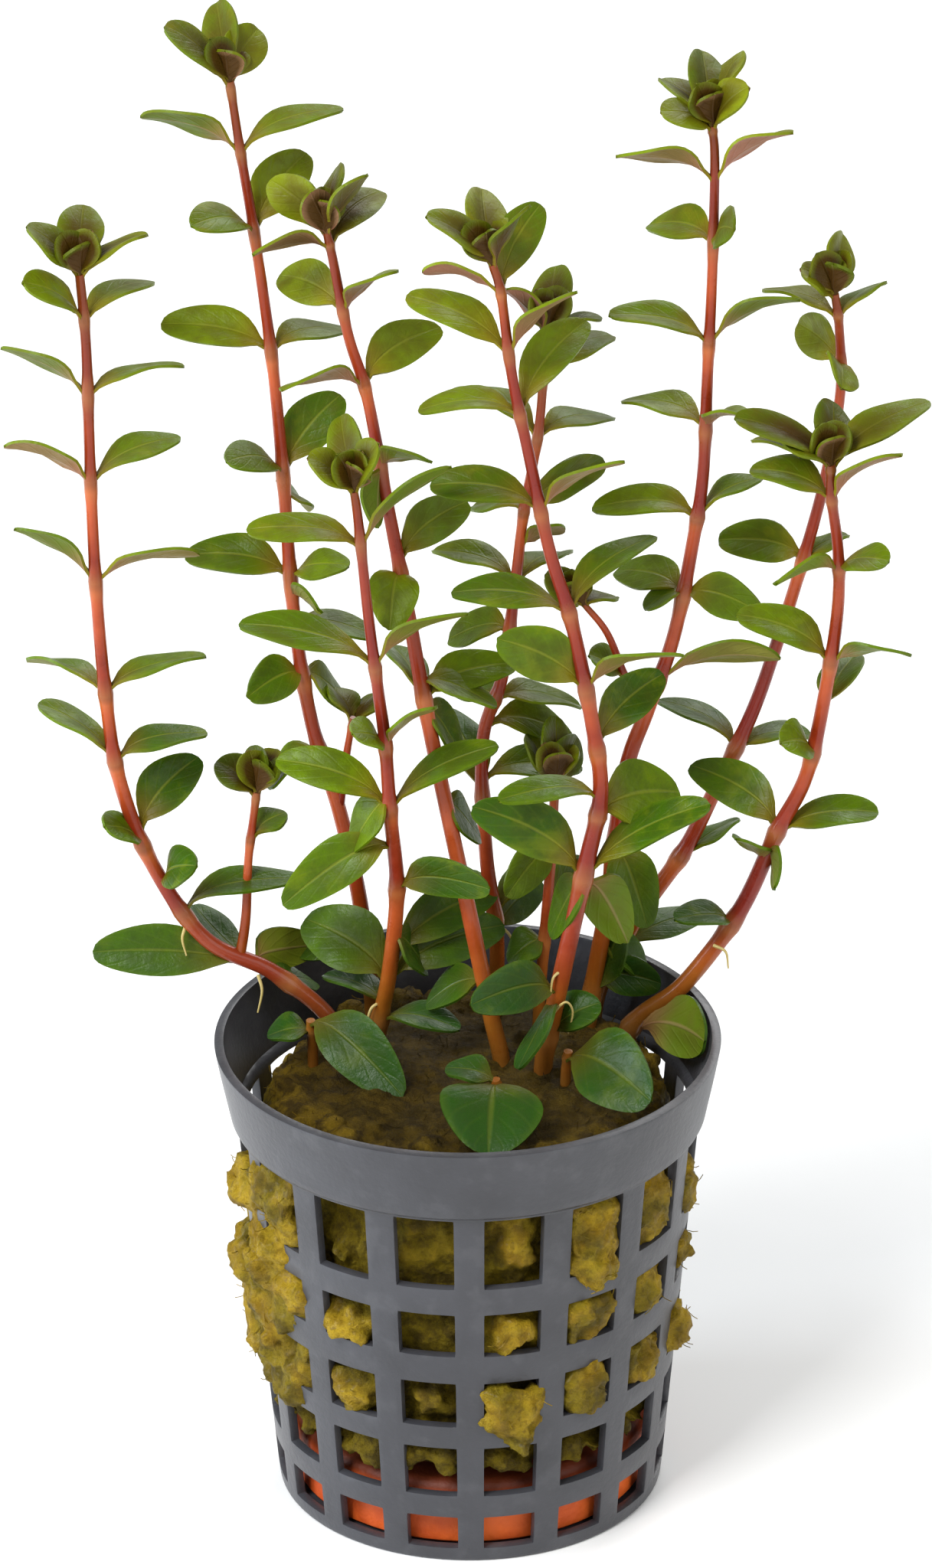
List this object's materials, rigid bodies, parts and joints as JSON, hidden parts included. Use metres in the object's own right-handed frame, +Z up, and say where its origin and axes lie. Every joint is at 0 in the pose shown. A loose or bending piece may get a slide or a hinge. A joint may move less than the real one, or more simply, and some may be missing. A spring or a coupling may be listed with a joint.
{
  "type": "potted aquarium plant",
  "caption": "Rotala bunch with small paired leaves, planted in rock wool in a slatted plastic net pot with a clay ring weight.",
  "frame": {"origin": "centre of the net pot's flat underside", "axes": "+Z up through the pot and the plant; -Y towards the viewer"},
  "size_m": [0.0986, 0.0548, 0.1687],
  "materials": {
    "pot_plastic": "matt",
    "clay": "matt",
    "wool": "matt",
    "plant": "satin"
  },
  "bodies": {
    "root": {"net_pot": "pot_plastic", "clay_ring": "clay", "rockwool": "wool", "shoot_far_left": "plant", "shoot_tall_left": "plant", "shoot_middle_left": "plant", "shoot_front_left": "plant", "shoot_middle": "plant", "shoot_behind_middle": "plant", "shoot_short": "plant", "shoot_tall_right": "plant", "shoot_back_right": "plant", "basal_front": "plant", "basal_right": "plant", "basal_left": "plant", "shoot_front_right": "plant"}
  },
  "joints": []
}
